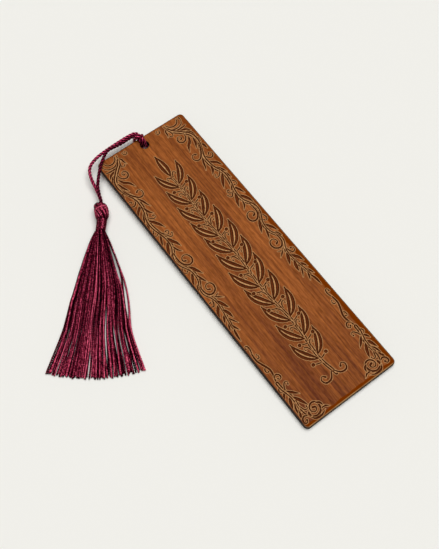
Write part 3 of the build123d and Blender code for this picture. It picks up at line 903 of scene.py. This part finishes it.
# Of these, the patches 9 mm across break up the painted highlight on the rim
for name, size, detail in (("inner side", 2.5, 3.0), ("painted_rim_light", 9, 3.0), ("ragged", 0.8, 2.0),
                           ("scorched", 0.5, 3.0), ("sanded", 1.6, 2.0)):
    patch[name] = add(tree, "ShaderNodeTexNoise", {
        "Vector": spot, "Scale": 1 / (size * mm), "Detail": detail})
# Ramps: what each one follows, the two ends of its range and its values there
ramp = {}
for name, value, start, stop, at_start, at_stop in (
        ("foot", spread["Y"], -60 * mm, -12 * mm, -0.11, 0.01),
        ("pores", grain["pores"], 0.36, 0.54, 0.76, 1.0),
        ("growth", grain["growth"], 0.55, 0.68, 1.0, 0.74),
        ("fade", spread["Y"], 50 * mm, -10 * mm, 0.6, 1.0),
        ("front", spread["Z"], 0.6 * mm, 1.0 * mm, 0.0, 1.0),
        ("rim highlight side", spread["X"], 18.5 * mm, 18.65 * mm, 0.0, 0.4),
        ("rim highlight foot", spread["Y"], -60.48 * mm, -60.6 * mm, 0.0, 1.0),
        ("painted_rim_light", patch["painted_rim_light"], 0.38, 0.56, 0.15, 1.0),
        ("scorched", patch["scorched"], 0.3, 0.7, 0.72, 1.16),
        ("sanded", patch["sanded"], 0.36, 0.56, 0.67, 0.76)):
    ramp[name] = add(tree, "ShaderNodeMapRange", {
        "Value": value, "From Min": start, "From Max": stop, "To Min": at_start, "To Max": at_stop})
tone = -0.015
for name, weight in (("bands", 0.45), ("streaks", 0.75), ("flecks", 0.3)):
    tone = add(tree, "ShaderNodeMath", {0: grain[name], 1: weight, 2: tone}, operation="MULTIPLY_ADD")
# The wood is darker towards the foot
tone = add(tree, "ShaderNodeMath", {0: tone, 1: ramp["foot"]}, operation="ADD")
stain = add(tree, "ShaderNodeValToRGB", {"Fac": tone}, (
    (0.5, "#642B0A"), (0.95, "#AE6228"), (0.72, "#894817")))
# Pores and lines of growth are darker
fine = add(tree, "ShaderNodeMath", {0: ramp["pores"], 1: ramp["growth"]}, operation="MULTIPLY")
look = add(tree, "ShaderNodeMix", {"Factor": 1.0, 6: stain, 7: fine}, data_type="RGBA", blend_type="MULTIPLY")
# A darker, browner band with an uneven inner side: about 2 mm wide along one long edge, where it fades
# towards the top, and 1.4 mm along the foot
uneven = add(tree, "ShaderNodeMath", {0: patch["inner side"], 1: 1.0 * mm, 2: -0.5 * mm},
             operation="MULTIPLY_ADD")
by_side = add(tree, "ShaderNodeMath", {0: spread["X"], 1: uneven}, operation="ADD")
by_side = add(tree, "ShaderNodeMapRange", {"Value": by_side, "From Min": 17.0 * mm, "From Max": 17.3 * mm})
by_foot = add(tree, "ShaderNodeMath", {0: spread["Y"], 1: uneven}, operation="ADD")
by_foot = add(tree, "ShaderNodeMapRange", {"Value": by_foot, "From Min": -59.5 * mm, "From Max": -59.75 * mm})
by_side = add(tree, "ShaderNodeMath", {0: by_side, 1: ramp["fade"]}, operation="MULTIPLY")
band = add(tree, "ShaderNodeMath", {0: by_side, 1: by_foot}, operation="MAXIMUM")
# It is on the front alone
band = add(tree, "ShaderNodeMath", {0: band, 1: ramp["front"]}, operation="MULTIPLY")
look = add(tree, "ShaderNodeMix", {"Factor": band, 6: look, 7: linear("#712F00")}, data_type="RGBA")
# At its outer side, along the foot and one long side, the band is painted paler in patches: a painted
# highlight of the light on the edge
rim_highlight = add(tree, "ShaderNodeMath", {0: ramp["rim highlight side"], 1: ramp["rim highlight foot"]}, operation="MAXIMUM")
for share in (band, ramp["painted_rim_light"]):
    rim_highlight = add(tree, "ShaderNodeMath", {0: rim_highlight, 1: share}, operation="MULTIPLY")
look = add(tree, "ShaderNodeMix", {"Factor": rim_highlight, 6: look, 7: linear("#AE8652")}, data_type="RGBA")
# The cuts: how far each spot is from the edge of a cut, in millimetres, made a little ragged
to_cut = add(tree, "ShaderNodeAttribute", attribute_name="cut").outputs["Fac"]
ragged = add(tree, "ShaderNodeMath", {0: patch["ragged"], 1: 0.16, 2: -0.08}, operation="MULTIPLY_ADD")
ragged = add(tree, "ShaderNodeMath", {0: to_cut, 1: ragged}, operation="ADD")
ragged = add(tree, "ShaderNodeMapRange", {"Value": ragged, "From Min": -0.6, "From Max": 0.6})
burn = add(tree, "ShaderNodeValToRGB", {"Fac": ragged}, (
    (0.15, "#683216"), (0.64, "#B08050"), (0.43, "#34160A"), (0.52, "#7A4A26"), (0.575, "#C89662")))
# The floor of the cuts is unevenly burnt, and the ridges are sanded paler in places
burn = add(tree, "ShaderNodeMix", {"Factor": 1.0, 6: burn, 7: ramp["scorched"]}, data_type="RGBA",
           blend_type="MULTIPLY")
fade_out = add(tree, "ShaderNodeMapRange", {
    "Value": ragged, "From Min": 0.61, "From Max": ramp["sanded"], "To Min": 1.0, "To Max": 0.0})
look = add(tree, "ShaderNodeMix", {"Factor": fade_out, 6: look, 7: burn}, data_type="RGBA")
relief = add(tree, "ShaderNodeBump", {"Height": ramp["pores"], "Strength": 0.35, "Distance": 0.05 * mm})
satin = add(tree, "ShaderNodeMapRange", {
    "Value": ramp["pores"], "From Min": 0.76, "To Min": 0.68, "To Max": 0.5})
# The burnt cuts and the dark band are dull
sheen = add(tree, "ShaderNodeMapRange", {"Value": band, "To Min": 0.08, "To Max": 0.0})
sheen = add(tree, "ShaderNodeMapRange", {"Value": ragged, "From Min": 0.45, "From Max": 0.6, "To Max": sheen})
shader = add(tree, "ShaderNodeBsdfPrincipled", {
    "Base Color": look, "Roughness": satin, "Normal": relief, "IOR": 1.5, "Specular IOR Level": sheen})
add(tree, "ShaderNodeOutputMaterial", {"Surface": shader})

# Laser-cut wood edge: charred brown-black and dull, with fine upright streaks from the beam
char, tree = finish("charred_edge")
spot = add(tree, "ShaderNodeTexCoord").outputs["Object"]
# Beam streaks 0.3 mm apart
beam = add(tree, "ShaderNodeMapping", {"Vector": spot, "Scale": [1 / (s * mm) for s in (0.3, 0.3, 6)]})
beam = add(tree, "ShaderNodeTexNoise", {"Vector": beam, "Scale": 1.0, "Detail": 2.0})
soot = add(tree, "ShaderNodeValToRGB", {"Fac": beam}, ((0.35, "#120C0A"), (0.75, "#2E1C12")))
relief = add(tree, "ShaderNodeBump", {"Height": beam, "Strength": 0.4, "Distance": 0.05 * mm})
shader = add(tree, "ShaderNodeBsdfPrincipled", {
    "Base Color": soot, "Roughness": 0.8, "Normal": relief, "Specular IOR Level": 0.25})
add(tree, "ShaderNodeOutputMaterial", {"Surface": shader})

# Edge of the stained face: dark, with a painted highlight that makes it paler in patches 9 mm long, along the
# foot and one long side
painted_rim_light, tree = finish("rubbed_edge")
spot = add(tree, "ShaderNodeTexCoord").outputs["Object"]
spread = add(tree, "ShaderNodeSeparateXYZ", {0: spot}).outputs
by_side = add(tree, "ShaderNodeMapRange", {
    "Value": spread["X"], "From Min": 16 * mm, "From Max": 18 * mm, "To Max": 0.1})
by_foot = add(tree, "ShaderNodeMapRange", {
    "Value": spread["Y"], "From Min": -58 * mm, "From Max": -60 * mm, "To Max": 0.35})
lit_rim = add(tree, "ShaderNodeMath", {0: by_side, 1: by_foot}, operation="MAXIMUM")
patches = add(tree, "ShaderNodeTexNoise", {"Vector": spot, "Scale": 1 / (9 * mm), "Detail": 3.0})
patches = add(tree, "ShaderNodeMapRange", {
    "Value": patches, "From Min": 0.38, "From Max": 0.56, "To Min": 0.15, "To Max": 1.0})
lit_rim = add(tree, "ShaderNodeMath", {0: lit_rim, 1: patches}, operation="MULTIPLY")
lit_rim = add(tree, "ShaderNodeMix", {"Factor": lit_rim, 6: linear("#2C1A0C"), 7: linear("#A67C55")},
             data_type="RGBA")
shader = add(tree, "ShaderNodeBsdfPrincipled", {
    "Base Color": lit_rim, "Roughness": 0.6, "Specular IOR Level": 0.3})
add(tree, "ShaderNodeOutputMaterial", {"Surface": shader})

for material in (wood, char, painted_rim_light):
    mesh.materials.append(material)
board = piece_of("carved_board", mesh)
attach(board, "board")
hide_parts("board")

# Floor, light and camera
# Matte paper: off-white, with no gloss at all
sheet, tree = finish("matte_paper_floor")
shader = add(tree, "ShaderNodeBsdfPrincipled", {
    "Base Color": linear("#F0EFEA"), "Roughness": 1.0, "Specular IOR Level": 0.0})
add(tree, "ShaderNodeOutputMaterial", {"Surface": shader})
floor_mesh = bpy.data.meshes.new("floor")
far = 2
floor_mesh.from_pydata([(-far, -far, 0), (far, -far, 0), (far, far, 0), (-far, far, 0)], [], [(0, 1, 2, 3)])
floor_mesh.materials.append(sheet)
floor = piece_of("floor", floor_mesh)

# The studio is dim, with pale walls as high as eight degrees above the floor
world = bpy.data.worlds.new("studio")
scene.world = world
world.use_nodes = True
tree = world.node_tree
way = add(tree, "ShaderNodeTexCoord").outputs["Generated"]
way = add(tree, "ShaderNodeSeparateXYZ", {0: way}).outputs
wall_top, wall_end = (math.sin(math.radians(a)) for a in (8, 13))
walls = add(tree, "ShaderNodeMapRange", {
    "Value": way["Z"], "From Min": wall_top, "From Max": wall_end, "To Min": 0.86, "To Max": 0.12})
background = tree.nodes["Background"]
background.inputs["Color"].default_value = linear("#FFFEF9")
tree.links.new(walls.outputs[0], background.inputs["Strength"])

key_lift = math.radians(78)
key_turn = math.radians(10)
# It lights the floor to this share of white
key_share = 0.86
key = bpy.data.lights.new("softbox", "SUN")
key.energy = key_share * math.pi / math.sin(key_lift)
key.angle = math.radians(54)
key_object = bpy.data.objects.new("softbox", key)
scene.collection.objects.link(key_object)
key_from = mathutils.Vector((
    math.cos(key_turn) * math.cos(key_lift), math.sin(key_turn) * math.cos(key_lift), math.sin(key_lift)))
key_object.rotation_euler = key_from.to_track_quat("Z", "Y").to_euler()

# The camera, fitted to the board's corners: lengths in millimetres, and the lens in pixels of the photograph
azimuth, elevation, roll = (math.radians(a) for a in (-36.13561, 65.67962, -0.63598))
aimed_at = (-8.38764, 0.12201, 0)
away = 305.58936
lens_pixels = 878.8733
photo_height = 549
back = mathutils.Vector((
    math.sin(azimuth) * math.cos(elevation), -math.cos(azimuth) * math.cos(elevation), math.sin(elevation)))
flat_right = mathutils.Vector((math.cos(azimuth), math.sin(azimuth), 0))
upright = back.cross(flat_right)
right = flat_right * math.cos(roll) + upright * math.sin(roll)
above = upright * math.cos(roll) - flat_right * math.sin(roll)
stand = mathutils.Vector(aimed_at) * mm + back * away * mm
camera = bpy.data.cameras.new("camera")
camera.sensor_fit = "VERTICAL"
camera.sensor_height = 36.0
camera.lens = lens_pixels / photo_height * camera.sensor_height
camera.clip_start = 0.01
camera_object = bpy.data.objects.new("camera", camera)
scene.collection.objects.link(camera_object)
camera_object.matrix_world = mathutils.Matrix((
    (right.x, above.x, back.x, stand.x), (right.y, above.y, back.y, stand.y),
    (right.z, above.z, back.z, stand.z), (0, 0, 0, 1)))
scene.camera = camera_object
scene.view_settings.view_transform = "Standard"
